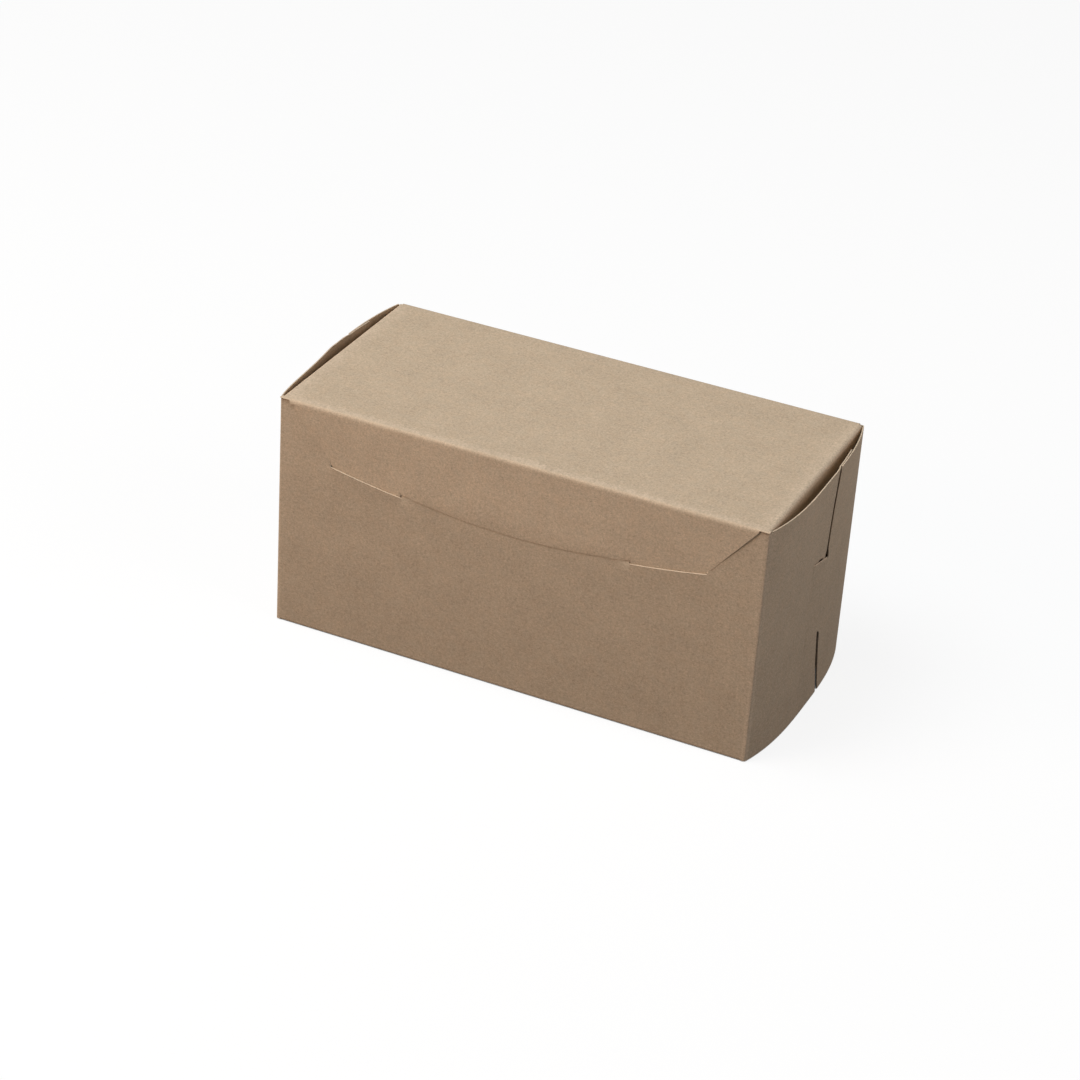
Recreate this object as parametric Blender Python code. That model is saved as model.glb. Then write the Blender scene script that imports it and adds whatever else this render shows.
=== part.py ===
"""Folding kraft box with a tuck-in lid: one die-cut sheet of board, its panels joined at creases.

World axes: X along the length, Y from the front to the rear, Z up. The origin is the middle of
the box's outside, front flap included, on the face that it stands on.
Each end is a front and a rear side flap that lock into each other. Every panel, flap and crease
is a solid of its own. Every flap that swings hangs on an empty on its fold axis, which is the line
where the inner faces of the crease's two panels meet.
"""

import math

import bmesh
import bpy
from mathutils import Vector

# Box, outside the board
box_length = 0.203
box_width = 0.0996
box_height = 0.100

# Board and its creases
board_thickness = 0.00045
clearance = 0.0003
crease_radius = 0.001
crease_tail = 0.0008
crease_arc_steps = 6

# Lid: its front flap, the flap's two lock tabs and the two dust flaps
front_flap_depth = 0.032
front_flap_edge_radius = 0.283
front_flap_top_inset = 0.0021
front_flap_corner_inset = 0.0228
lock_slit_radius = 0.407
lock_slit_end_margin = 0.0013
lock_tab_inner_place = 0.048
lock_tab_reach = 0.008
lock_tab_bend_height = 0.002
lock_slit_steps = 12
dust_flap_depth = 0.036
dust_flap_front_taper = 0.008
dust_flap_rear_taper = 0.002
side_flap_end_gap = 0.004
side_flap_inset = 0.0002

# Base side flaps, which stand up inside the ends
base_flap_height = 0.030
base_flap_corner = 0.006

# Locks of the ends, as shares of the box's width from the front and of its height
front_arm_end_share = 0.604
front_notch_share = 0.463
front_tongue_end_share = 0.783
rear_edge_share = 0.629
rear_tongue_end_share = 0.500
rear_tab_end_share = 0.400
tongue_top_rear_share = 0.598
tongue_top_front_share = 0.629
tongue_bottom_share = 0.270

# Details of the locks
lock_cut_gap = 0.0008
lower_slit_fillet = 0.0022
fillet_steps = 5
tongue_corner = 0.005
front_dip_length = 0.0035
rear_tab_corner = 0.004

# How far the ends bulge, at the rim, at the waist and at the foot
front_rim_bulge = 0.0055
rear_rim_bulge = 0.0047
waist_bulge = 0.0028
foot_bulge = 0.0061
waist_height_share = 0.45
bulge_power = 3
bend_step = 0.005

# Bends gentler than this are shaded smooth, and cut edges stay sharp
smooth_below_degrees = 40

# Places that follow from the sizes above
half_length = box_length / 2
flap_standoff = board_thickness + clearance
front_y = -(box_width - flap_standoff) / 2
rear_y = front_y + box_width
panel_margin = crease_radius + crease_tail + clearance
fold_depth = board_thickness
wall_top = box_height - board_thickness - clearance
rim_top = box_height - clearance
flap_foot = clearance
wall_half_length = half_length - panel_margin
side_plane = half_length - side_flap_inset
lid_half_length = side_plane - panel_margin
flap_plane_y = front_y - flap_standoff
waist_height = waist_height_share * box_height

# The ends leave their corner creases at a lean, because they bulge from the corner on
usual_bulge = (front_rim_bulge + waist_bulge) / 2
end_lean = math.atan(2 * bulge_power * usual_bulge / box_width)
end_lead = crease_radius * (1 - math.tan(end_lean / 2))
end_reach = (crease_tail + clearance) * math.cos(end_lean)
end_root = crease_radius * (1 - math.sin(end_lean)) + end_reach

# Colours of the board, of the paler stretched creases and of its inside
board_colour = (0.500, 0.390, 0.275)
crease_colour = (0.540, 0.425, 0.305)
inner_colour = (0.430, 0.330, 0.230)
board_roughness = 0.9


def clear_scene():
    for old in list(bpy.data.objects):
        bpy.data.objects.remove(old)


def board_material(name, colour):
    """One matt, non-metallic board material for the piece of this name."""
    material = bpy.data.materials.new(name + "_board")
    material.use_nodes = True
    shader = material.node_tree.nodes["Principled BSDF"]
    shader.inputs["Base Color"].default_value = (*colour, 1)
    shader.inputs["Roughness"].default_value = board_roughness
    shader.inputs["Metallic"].default_value = 0
    return material


def pivot(name, place, parent=None):
    """An empty on a fold axis, which carries the pieces that swing about it."""
    empty = bpy.data.objects.new(name, None)
    bpy.context.scene.collection.objects.link(empty)
    empty.parent = parent
    empty.location = Vector(place) - (world_place(parent) if parent else Vector())
    return empty


def world_place(thing):
    """Where an unrotated object stands in the world."""
    place = Vector()
    while thing:
        place = place + thing.location
        thing = thing.parent
    return place


def board_piece(name, outline, depth, to_world, carrier=None, colour=board_colour, cuts=((), ())):
    """A closed solid: an outline drawn in two coordinates, given depth in a third, set in the world.

    cuts holds the places, along the outline's two coordinates, where a bent sheet gets edges.
    """
    shape = bmesh.new()
    face = shape.faces.new([shape.verts.new((a, b, 0)) for a, b in outline])
    grown = bmesh.ops.extrude_face_region(shape, geom=[face])["geom"]
    lifted = [item for item in grown if isinstance(item, bmesh.types.BMVert)]
    bmesh.ops.translate(shape, verts=lifted, vec=(0, 0, depth))
    for direction, places in zip(((1, 0, 0), (0, 1, 0)), cuts):
        for place in places:
            whole = shape.verts[:] + shape.edges[:] + shape.faces[:]
            point = Vector(direction) * place
            bmesh.ops.bisect_plane(shape, geom=whole, plane_co=point, plane_no=direction)
    origin = world_place(carrier)
    for corner in shape.verts:
        corner.co = Vector(to_world(*corner.co)) - origin
    bmesh.ops.recalc_face_normals(shape, faces=shape.faces[:])
    if shape.calc_volume(signed=True) < 0:
        bmesh.ops.reverse_faces(shape, faces=shape.faces[:])
    mesh = bpy.data.meshes.new(name)
    shape.to_mesh(mesh)
    shape.free()
    mesh.shade_smooth()
    mesh.set_sharp_from_angle(angle=math.radians(smooth_below_degrees))
    mesh.materials.append(board_material(name, colour))
    piece = bpy.data.objects.new(name, mesh)
    bpy.context.scene.collection.objects.link(piece)
    piece.parent = carrier
    return piece


def rectangle(left, right, low, high):
    return [(left, low), (right, low), (right, high), (left, high)]


def corner_arc(centre_a, centre_b, radius, first_degrees, last_degrees, steps):
    """Points on an arc, both ends included."""
    points = []
    for step in range(steps + 1):
        angle = math.radians(first_degrees + (last_degrees - first_degrees) * step / steps)
        points.append((centre_a + radius * math.cos(angle), centre_b + radius * math.sin(angle)))
    return points


def steps_between(low, high):
    """Evenly spaced places between two ends, at most one bend step apart."""
    count = math.ceil((high - low) / bend_step)
    return [low + (high - low) * step / count for step in range(1, count)]


# Creases

def crease_outline(lean):
    """Section of a crease about its middle: a round between two short straight tails.

    A crease with a lean turns less than 90 degrees, so its first tail leans outward.
    """
    first = math.degrees(lean)
    inner_radius = crease_radius - board_thickness
    outer = corner_arc(0, 0, crease_radius, first, 90, crease_arc_steps)
    inner = corner_arc(0, 0, inner_radius, 90, first, crease_arc_steps)
    tail = (crease_tail * math.sin(lean), -crease_tail * math.cos(lean))
    outer_end = (outer[0][0] + tail[0], outer[0][1] + tail[1])
    inner_end = (inner[-1][0] + tail[0], inner[-1][1] + tail[1])
    outer_path = [outer_end, *outer, (-crease_tail, crease_radius)]
    inner_path = [(-crease_tail, inner_radius), *inner, inner_end]
    return outer_path + inner_path


def crease(name, middle, outward, upward, run_from, run_to, carrier=None, lean=0):
    """A crease along the world axis that outward and upward leave over, from one place to another."""
    outward = Vector(outward)
    upward = Vector(upward)
    along = Vector([abs(value) for value in outward.cross(upward)])
    start = Vector(middle) + along * run_from

    def to_world(a, b, c):
        return start + outward * a + upward * b + along * c

    length = run_to - run_from
    return board_piece(name, crease_outline(lean), length, to_world, carrier, crease_colour)


# Walls and base

def add_base():
    outline = rectangle(-lid_half_length, lid_half_length, front_y + panel_margin, rear_y - panel_margin)
    board_piece("base_panel", outline, board_thickness, lambda a, b, c: (a, b, c))


def add_walls():
    outline = rectangle(-wall_half_length, wall_half_length, panel_margin, wall_top)
    front = board_piece(
        "front_wall", outline, board_thickness, lambda a, b, c: (a, front_y + c, b)
    )
    for side, word in ((-1, "left"), (1, "right")):
        cutter = slit_cutter(side, word)
        cut = front.modifiers.new("lock_slit_" + word, "BOOLEAN")
        cut.operation = "DIFFERENCE"
        cut.solver = "EXACT"
        cut.object = cutter
    rear_outline = rectangle(-wall_half_length, wall_half_length, panel_margin, box_height - panel_margin)
    board_piece("rear_wall", rear_outline, board_thickness, lambda a, b, c: (a, rear_y - c, b))


def add_base_creases():
    run = wall_half_length
    for name, y, inward in (("front", front_y, 1), ("rear", rear_y, -1)):
        place = (0, y + inward * crease_radius, crease_radius)
        crease("base_" + name + "_crease", place, (0, -inward, 0), (0, 0, -1), -run, run)


# Lid, its front flap and the flap's lock tabs

def arc_height(x, radius):
    """Height, at a place along the length, of an arc that hangs to the front flap's full depth."""
    return box_height - front_flap_depth + radius - math.sqrt(radius**2 - x**2)


def flap_edge(x):
    """Height of the edge that the front flap has between its two lock tabs."""
    return arc_height(x, front_flap_edge_radius)


def slit_edge(x):
    """Height of a lock slit's lower edge."""
    return arc_height(x, lock_slit_radius)


def tab_root(x):
    """Height at which the flap ends above a lock slit and its lock tab begins."""
    return slit_edge(x) + clearance + lock_tab_bend_height


def flap_corner_place():
    """Place along the length where the flap's slanted side crosses the lock slit."""
    return half_length - front_flap_corner_inset


def side_place(height):
    """Place along the length of the flap's slanted side at a height."""
    corner = flap_corner_place()
    share = (height - slit_edge(corner)) / (box_height - slit_edge(corner))
    return corner + (half_length - front_flap_top_inset - corner) * share


def spread(first, last, steps):
    return [first + (last - first) * step / steps for step in range(steps + 1)]


def slit_cutter(side, word):
    """Cutter for one of the front wall's curved slits, which the lock tab's bend goes through."""
    inner = lock_tab_inner_place - clearance
    outer = flap_corner_place() + lock_slit_end_margin
    places = spread(inner, outer, lock_slit_steps)
    lower = [(side * x, slit_edge(x)) for x in places]
    upper = [(side * x, tab_root(x) + clearance) for x in reversed(places)]

    def to_world(a, b, c):
        return (a, front_y + c - board_thickness, b)

    cutter = board_piece("lock_slit_cutter_" + word, lower + upper, 3 * board_thickness, to_world)
    cutter.hide_render = True
    cutter.display_type = "WIRE"
    return cutter


def add_lid(lid_axis):
    front_edge = flap_plane_y + panel_margin
    outline = rectangle(-lid_half_length, lid_half_length, front_edge, rear_y - panel_margin)
    board_piece("lid_panel", outline, board_thickness, lambda a, b, c: (a, b, box_height - c), lid_axis)
    hinge_place = (0, rear_y - crease_radius, box_height - crease_radius)
    crease("lid_hinge_crease", hinge_place, (0, 1, 0), (0, 0, 1), -wall_half_length, wall_half_length)


def add_front_flap(lid_axis):
    place = (0, flap_plane_y + crease_radius, box_height - crease_radius)
    crease("lid_front_crease", place, (0, -1, 0), (0, 0, 1), -side_plane, side_plane, lid_axis)
    axis_place = (0, flap_plane_y + fold_depth, box_height - fold_depth)
    flap_axis = pivot("front_flap_hinge_axis", axis_place, lid_axis)
    top = box_height - panel_margin
    corner = side_place(tab_root(flap_corner_place()) + clearance)
    half = [(side_place(top), top)]
    for x in spread(corner, lock_tab_inner_place, lock_slit_steps):
        half.append((x, tab_root(x) + clearance))
    edge = spread(lock_tab_inner_place, -lock_tab_inner_place, 2 * lock_slit_steps)
    outline = half + [(x, flap_edge(x)) for x in edge] + [(-x, z) for x, z in reversed(half)]

    def to_world(a, b, c):
        return (a, flap_plane_y + c, b)

    board_piece("lid_front_flap", outline, board_thickness, to_world, flap_axis)
    for side, word in ((-1, "left"), (1, "right")):
        add_lock_tab(side, word, flap_axis)


def add_lock_tab(side, word, carrier):
    """Tab that bends through its slit and lies behind the front wall; drawn straight, then bent."""
    inner = lock_tab_inner_place + clearance
    outer = flap_corner_place() - clearance
    bend_bottom = -lock_tab_bend_height
    end = -lock_tab_reach
    corner = (outer - inner) / lock_slit_steps
    outline = [(inner, 0), (inner, bend_bottom), (inner + corner, end), (outer - corner, end)]
    outline += [(outer, bend_bottom), (side_place(tab_root(outer)) - clearance, 0)]

    def to_world(a, b, c):
        bent = min(1, -b / lock_tab_bend_height)
        shift = bent * 2 * flap_standoff
        return (side * a, flap_plane_y + shift + c, tab_root(a) + b)

    cuts = (spread(inner, outer, lock_slit_steps)[1:-1], (bend_bottom,))
    board_piece(
        "lid_lock_tab_" + word, outline, board_thickness, to_world, carrier, board_colour, cuts
    )


def add_dust_flap(side, word, lid_axis):
    place = (side * (side_plane - crease_radius), 0, box_height - crease_radius)
    run_from = front_y + panel_margin + clearance
    run_to = rear_y - panel_margin - clearance
    crease("lid_side_crease_" + word, place, (side, 0, 0), (0, 0, 1), run_from, run_to, lid_axis)
    axis_place = (side * (side_plane - fold_depth), 0, box_height - fold_depth)
    axis = pivot("lid_dust_flap_hinge_axis_" + word, axis_place, lid_axis)
    top = box_height - panel_margin
    bottom = box_height - dust_flap_depth
    front = front_y + side_flap_end_gap
    rear = rear_y - side_flap_end_gap
    outline = [
        (front, top),
        (front + dust_flap_front_taper, bottom),
        (rear - dust_flap_rear_taper, bottom),
        (rear, top),
    ]

    def to_world(a, b, c):
        return (side * (side_plane - c), a, b)

    board_piece("lid_dust_flap_" + word, outline, board_thickness, to_world, axis, inner_colour)


def add_base_flap(side, word):
    place = (side * (side_plane - crease_radius), 0, crease_radius)
    run_from = front_y + panel_margin + clearance
    run_to = rear_y - panel_margin - clearance
    crease("base_side_crease_" + word, place, (side, 0, 0), (0, 0, -1), run_from, run_to)
    axis_place = (side * (side_plane - fold_depth), 0, fold_depth)
    axis = pivot("base_side_flap_hinge_axis_" + word, axis_place)
    front = front_y + side_flap_end_gap
    rear = rear_y - side_flap_end_gap
    outline = [
        (front, panel_margin),
        (rear, panel_margin),
        (rear, base_flap_height - base_flap_corner),
        (rear - base_flap_corner, base_flap_height),
        (front + base_flap_corner, base_flap_height),
        (front, base_flap_height - base_flap_corner),
    ]

    def to_world(a, b, c):
        return (side * (side_plane - c), a, b)

    board_piece("base_side_flap_" + word, outline, board_thickness, to_world, axis, inner_colour)


# Bulged ends: depth is the distance behind the front wall's outer face

def bulge(depth, height, rim_bulge):
    """How far an end stands out past the box's length."""
    along = (depth - end_lead) / (box_width - 2 * end_lead)
    profile = 1 - abs(2 * along - 1) ** bulge_power
    if height > waist_height:
        rise = (height - waist_height) / (box_height - waist_height)
        size = waist_bulge + (rim_bulge - waist_bulge) * rise**2
    else:
        fall = (waist_height - height) / waist_height
        size = waist_bulge + (foot_bulge - waist_bulge) * fall**2
    return size * profile


def smooth_share(value, low, high):
    share = min(1, max(0, (value - low) / (high - low)))
    return share * share * (3 - 2 * share)


def front_dip_places():
    """Where the front side flap starts to dip, and where it is wholly inside the rear side flap."""
    end = rear_edge_share * box_width
    return [end - front_dip_length, end]


def front_layer(depth, height):
    """Outer face of the front side flap: above the waist it dips to pass inside the rear side flap."""
    own = bulge(depth, height, front_rim_bulge)
    flush = bulge(depth, height, rear_rim_bulge)
    share = smooth_share(depth, 0, front_arm_end_share * box_width)
    outer = own + (flush - own) * share
    if height < waist_height:
        return outer
    return outer - flap_standoff * smooth_share(depth, *front_dip_places())


def rear_layer(depth, height):
    """Outer face of the rear side flap."""
    return bulge(depth, height, rear_rim_bulge)


def rear_tab_layer(depth, height):
    """Outer face of the rear flap's tab, which passes inside the front flap's notch."""
    inside = front_layer(depth, height) - flap_standoff
    start = front_notch_share * box_width + clearance
    share = smooth_share(depth, start, rear_tongue_end_share * box_width)
    return inside + (rear_layer(depth, height) - inside) * share


def tongue_top(depth):
    """Height of the slanted top edge of the rear flap's tongue."""
    front = rear_tongue_end_share * box_width
    rear = rear_edge_share * box_width
    share = (depth - front) / (rear - front)
    slant = (tongue_top_rear_share - tongue_top_front_share) * box_height
    return tongue_top_front_share * box_height + slant * share


def end_piece(name, outline, side, layer, carrier, bends=()):
    """A sheet drawn in depth and height and bent to one layer of an end.

    bends holds depths that get an edge besides the evenly spaced ones.
    """

    def to_world(a, b, c):
        return (side * (half_length + layer(a, b) - c), front_y + a, b)

    depths = [a for a, _ in outline]
    heights = [b for _, b in outline]
    along = [*steps_between(min(depths), max(depths)), *bends]
    cuts = (along, steps_between(min(heights), max(heights)))
    board_piece(name, outline, board_thickness, to_world, carrier, board_colour, cuts)


def front_side_outline():
    arm_end = front_arm_end_share * box_width
    notch = front_notch_share * box_width
    notch_bottom = tongue_bottom_share * box_height - clearance
    return [
        (end_root, flap_foot),
        (arm_end, flap_foot),
        (arm_end, notch_bottom),
        (notch, notch_bottom),
        (notch, tongue_top(notch) + clearance),
        (arm_end, tongue_top(arm_end) + lock_cut_gap),
        (arm_end, rim_top),
        (end_root, rim_top),
    ]


def front_tongue_outline():
    start = front_arm_end_share * box_width + clearance
    end = front_tongue_end_share * box_width
    bottom = tongue_top(start) + lock_cut_gap
    return [
        (start, bottom),
        (end - tongue_corner, bottom),
        (end, bottom + tongue_corner),
        (end, rim_top),
        (start, rim_top),
    ]


def rear_side_outline():
    root = box_width - end_root
    edge = rear_edge_share * box_width
    tongue_end = rear_tongue_end_share * box_width
    bottom = tongue_bottom_share * box_height
    fillet = corner_arc(
        edge - lower_slit_fillet,
        bottom - lower_slit_fillet,
        lower_slit_fillet,
        0,
        90,
        fillet_steps,
    )
    return [
        (root, flap_foot),
        (root, rim_top),
        (edge, rim_top),
        (edge, tongue_top(edge)),
        (tongue_end, tongue_top(tongue_end)),
        (tongue_end, bottom),
        *reversed(fillet),
        (edge, flap_foot),
    ]


def rear_tab_outline():
    start = rear_tongue_end_share * box_width - clearance
    end = rear_tab_end_share * box_width
    top = tongue_top(start) - clearance
    bottom = tongue_bottom_share * box_height + clearance
    return [
        (start, bottom),
        (start, top),
        (end + rear_tab_corner, top - rear_tab_corner),
        (end, top - 2 * rear_tab_corner),
        (end, bottom + 2 * rear_tab_corner),
        (end + rear_tab_corner, bottom + rear_tab_corner),
    ]


def corner_crease(name, side, y, outward_y):
    middle = (side * (half_length - crease_radius), y - outward_y * crease_radius, 0)
    directions = (side, 0, 0), (0, outward_y, 0)
    crease(name, middle, *directions, flap_foot, wall_top, lean=end_lean)


def add_end(side, word):
    axis_x = side * (half_length - fold_depth)
    corner_crease("front_corner_crease_" + word, side, front_y, -1)
    front_axis = pivot("front_side_flap_hinge_axis_" + word, (axis_x, front_y + fold_depth, 0))
    for name, outline in (
        ("front_side_flap_", front_side_outline()),
        ("front_flap_tongue_", front_tongue_outline()),
    ):
        bends = front_dip_places()
        end_piece(name + word, outline, side, front_layer, front_axis, bends)
    corner_crease("rear_corner_crease_" + word, side, rear_y, 1)
    rear_axis = pivot("rear_side_flap_hinge_axis_" + word, (axis_x, rear_y - fold_depth, 0))
    end_piece("rear_side_flap_" + word, rear_side_outline(), side, rear_layer, rear_axis)
    end_piece("rear_flap_tab_" + word, rear_tab_outline(), side, rear_tab_layer, rear_axis)


def main():
    clear_scene()
    add_base()
    add_walls()
    add_base_creases()
    lid_axis = pivot("lid_hinge_axis", (0, rear_y - fold_depth, box_height - fold_depth))
    add_lid(lid_axis)
    add_front_flap(lid_axis)
    for side, word in ((-1, "left"), (1, "right")):
        add_dust_flap(side, word, lid_axis)
        add_base_flap(side, word)
        add_end(side, word)


main()
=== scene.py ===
"""Dressed kraft box: each panel, flap and crease of the frame as thin board with its own finish.

World axes: X along the length, Y from the front to the rear, Z up, in metres. The shapes are those
of the part's source. Where the photograph shows more, such as a flap that leans into its slits,
the board here follows the photograph.
"""

import math

import bpy
import numpy as np
from mathutils import Matrix, Vector
from mathutils.geometry import delaunay_2d_cdt


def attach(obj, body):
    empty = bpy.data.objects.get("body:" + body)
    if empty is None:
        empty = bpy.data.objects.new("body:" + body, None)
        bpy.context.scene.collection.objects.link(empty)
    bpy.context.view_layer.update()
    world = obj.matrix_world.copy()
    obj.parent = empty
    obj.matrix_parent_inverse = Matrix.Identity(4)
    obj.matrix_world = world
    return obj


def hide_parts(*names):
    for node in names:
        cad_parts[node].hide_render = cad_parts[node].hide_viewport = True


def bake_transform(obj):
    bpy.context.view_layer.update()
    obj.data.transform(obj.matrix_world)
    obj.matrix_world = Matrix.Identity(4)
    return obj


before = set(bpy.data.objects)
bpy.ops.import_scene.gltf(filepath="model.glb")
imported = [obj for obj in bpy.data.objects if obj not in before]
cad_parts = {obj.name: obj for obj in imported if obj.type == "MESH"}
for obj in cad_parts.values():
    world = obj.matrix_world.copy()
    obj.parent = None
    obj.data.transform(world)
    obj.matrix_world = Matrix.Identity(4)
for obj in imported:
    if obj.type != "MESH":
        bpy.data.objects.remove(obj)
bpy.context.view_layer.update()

# The box's sizes in metres, the same as in the part's source
LENGTH = 0.203
WIDTH = 0.0996
HEIGHT = 0.100
BOARD = 0.00045
CLEARANCE = 0.0003
CREASE_RADIUS = 0.001
CREASE_TAIL = 0.0008
FLAP_DEPTH = 0.032
FLAP_EDGE_RADIUS = 0.283
FLAP_CORNER_INSET = 0.0228
SLIT_RADIUS = 0.407
TAB_INNER_PLACE = 0.048
TAB_REACH = 0.008
TAB_BEND_HEIGHT = 0.002
TAB_END_INSET = 0.003
DUST_DEPTH = 0.036
DUST_CORNER = 0.006
DUST_FRONT_TAPER = 0.008
DUST_REAR_TAPER = 0.002
DUST_TAPER_SHARE = 0.8
DUST_FRONT_DEGREES = (190, 270)
DUST_REAR_DEGREES = (270, 355)
SIDE_FLAP_END_GAP = 0.004
SIDE_FLAP_INSET = 0.0002
BASE_FLAP_HEIGHT = 0.030
BASE_FLAP_CORNER = 0.006

# The ends' locks, as depths behind the front wall and heights above the base
ARM_END = 0.604 * WIDTH
NOTCH = 0.463 * WIDTH
FRONT_TONGUE_END = 0.783 * WIDTH
REAR_EDGE = 0.629 * WIDTH
REAR_TONGUE_END = 0.500 * WIDTH
REAR_TAB_END = 0.400 * WIDTH
TONGUE_TOP_REAR = 0.0598
TONGUE_TOP_FRONT = 0.0629
TONGUE_BOTTOM = 0.0270
SLIT_FILLET = 0.0022
TONGUE_CORNER = 0.005
TAB_CORNER = 0.004

# The ends' bulge past the box's length; the foot's is less than the solids', as photographed
FRONT_RIM_BULGE = 0.0055
REAR_RIM_BULGE = 0.0047
WAIST_BULGE = 0.0028
FOOT_BULGE = 0.0054
WAIST_HEIGHT = 0.045
BULGE_POWER = 3

# The closed lid's board beside the solids: it lies closer, leans and gives way a little
FLAP_GAP = 0.00006
FLAP_TOP_INSET = 0.0034
FLAP_LEAN = 0.00063
LEAN_POWER = 1.4
TAB_SLOPE = 0.14
LEAN_PLACES = (0.040, 0.053)
SLIT_END = 0.0788
SLIT_OPENING = 0.0010
SLIT_POINT = 0.0004
LIP_OUT = 0.00045
LIP_HEIGHT = 0.016
LIP_POWER = 2.5
LIP_PLACES = (0.044, 0.053)
LIP_END_PLACES = (0.0765, 0.083)
LIP_BEVEL = 0.00012
PRESS_MARGIN = 0.00003
EDGE_THINNING = 0.00033
SIDE_THINNING = 0.00030
THINNED_WIDTH = 0.002
EAR_HEIGHT = 0.0003
EAR_RUN = (0.0001, 0.0008)
CORNER_DROP = 0.0002

# How far the middle of each panel gives way
BASE_CROWN = 0.0001
REAR_BELLY = 0.00015
FRONT_BELLY = 0.00012
FRONT_BELLY_TOP = 0.07
LID_CROWN = 0.00022
LID_RIPPLE = 0.00004
RIPPLE_WAVES = (61, 83)
RIPPLE_STARTS = (1.3, 0.4)
DUST_LEAN = 0.0006
BASE_FLAP_LEAN = 0.0003

# Tones of the board, 1 as it comes, most of them painted light and shade; and how pale it is worn
# Painted light: the front flap is drawn paler than the wall, standing in for the light it catches
FLAP_PAINTED_LIGHT = 1.165
CORNER_TONE = 1.03
# Painted highlight: the lid's rounded side folds are drawn paler, as if catching light from the
# right
SIDE_FOLD_PAINTED_HIGHLIGHT = 1.1
# Painted shade: the walls and ends are drawn darker towards the foot and paler towards the top
FOOT_SHADE_SLOPE = 1.8
FOOT_SHADE_REACH = 0.042
# Painted highlight on the cut face of each slit's lower lip
LIP_PAINTED_HIGHLIGHT = 0.12
# Painted highlight on the tongue's top edge and painted shade on the rear flap's front edge in the
# lock
TONGUE_PAINTED_HIGHLIGHT = 1.7
LOCK_PAINTED_SHADE = 0.85
# Painted shade on the dust flaps below their fold, where the end's rim shades them
DUST_FLAP_PAINTED_SHADE = 0.25
DUST_FLAP_SHADE_REACH = (0.0005, 0.006)
PALE_BAND = 0.0046
PALE_BAND_BLUR = 0.0007
PALE_SIDE = 0.001
WALL_WEAR = 0.3
WALL_WEAR_WIDTH = 0.0015
END_WEAR = 0.4
END_WEAR_WIDTH = 0.0018

# Places that follow
HALF = LENGTH / 2
STANDOFF = BOARD + CLEARANCE
FRONT_Y = -(WIDTH - STANDOFF) / 2
REAR_Y = FRONT_Y + WIDTH
FLAP_Y = FRONT_Y - BOARD - FLAP_GAP
REACH = CREASE_RADIUS + CREASE_TAIL
PANEL_TOP = HEIGHT - REACH
RIM_TOP = HEIGHT - CLEARANCE
WALL_TOP = HEIGHT - BOARD - CLEARANCE
CORNER_TOP = WALL_TOP - CORNER_DROP
FOOT = CLEARANCE
SIDE_PLANE = HALF - SIDE_FLAP_INSET
CORNER_PLACE = HALF - FLAP_CORNER_INSET
WALL_HALF = HALF - REACH
LID_HALF = SIDE_PLANE - REACH
LID_FRONT = FLAP_Y + REACH
LID_REAR = REAR_Y - REACH
USUAL_BULGE = (FRONT_RIM_BULGE + WAIST_BULGE) / 2
END_LEAN = math.atan(2 * BULGE_POWER * USUAL_BULGE / WIDTH)
END_LEAD = CREASE_RADIUS * (1 - math.tan(END_LEAN / 2))

# Mesh fineness: the longest side of an outline, or the grid's steps inside it
COARSE = 0.010
REAR_WALL_STEP = 0.004
FOLD_STEP = 0.005
CORNER_STEP = 0.003
FLAP_STEP = 0.003
WALL_OUTLINE_STEP = 0.0018
LID_FLAP_STEP = 0.0025
END_STEP = 0.0022
WALL_GRID = (0.004, 0.004)
LID_GRID = (0.006, 0.0011)
TAB_GRID = (0.002, 0.0007)
DUST_GRID = (0.004, 0.0012)
END_GRID = (0.0012, 0.0030)
CREASE_STEPS = 10
EAR_STEPS = 15
CURVE_STEPS = 24
ARCH_STEPS = 64
ARM_STEPS = 20
TONGUE_STEPS = 8
ROUND_STEPS = 6
SHARP_DEGREES = 40
GRID_KEEP_OFF = 0.35
CLOSE = 1e-7
SAME_POINT = 1e-9
ON_SLIT = 1e-6
NEAR_LIP = 0.00002


def share(value, low, high):
    """0 below low, 1 above high, smooth between; works on numbers and arrays."""
    t = np.clip((value - low) / (high - low), 0, 1)
    return t * t * (3 - 2 * t)


# Shapes of the flap's edges and of the ends, as in the part's source

def arc_height(x, radius):
    return HEIGHT - FLAP_DEPTH + radius - np.sqrt(radius**2 - x**2)


def flap_edge(x):
    return arc_height(x, FLAP_EDGE_RADIUS)


def slit_edge(x):
    return arc_height(x, SLIT_RADIUS)


def tab_root(x):
    return slit_edge(x) + CLEARANCE + TAB_BEND_HEIGHT


def side_place(height):
    low = slit_edge(CORNER_PLACE)
    return CORNER_PLACE + (HALF - FLAP_TOP_INSET - CORNER_PLACE) * (height - low) / (HEIGHT - low)


def bulge(depth, height, rim_bulge):
    along = (depth - END_LEAD) / (WIDTH - 2 * END_LEAD)
    profile = 1 - np.abs(2 * along - 1) ** BULGE_POWER
    rise = np.maximum(0, height - WAIST_HEIGHT) / (HEIGHT - WAIST_HEIGHT)
    fall = np.maximum(0, WAIST_HEIGHT - height) / WAIST_HEIGHT
    size = WAIST_BULGE + (rim_bulge - WAIST_BULGE) * rise**2 + (FOOT_BULGE - WAIST_BULGE) * fall**2
    return size * profile


def rear_layer(depth, height):
    return bulge(depth, height, REAR_RIM_BULGE)


def tongue_top(depth):
    t = (depth - REAR_TONGUE_END) / (REAR_EDGE - REAR_TONGUE_END)
    return TONGUE_TOP_FRONT + (TONGUE_TOP_REAR - TONGUE_TOP_FRONT) * t


def front_plain(depth, height):
    """The front flap's own bulge, which runs into the rear flap's."""
    own = bulge(depth, height, FRONT_RIM_BULGE)
    return own + (rear_layer(depth, height) - own) * share(depth, 0, ARM_END)


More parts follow.
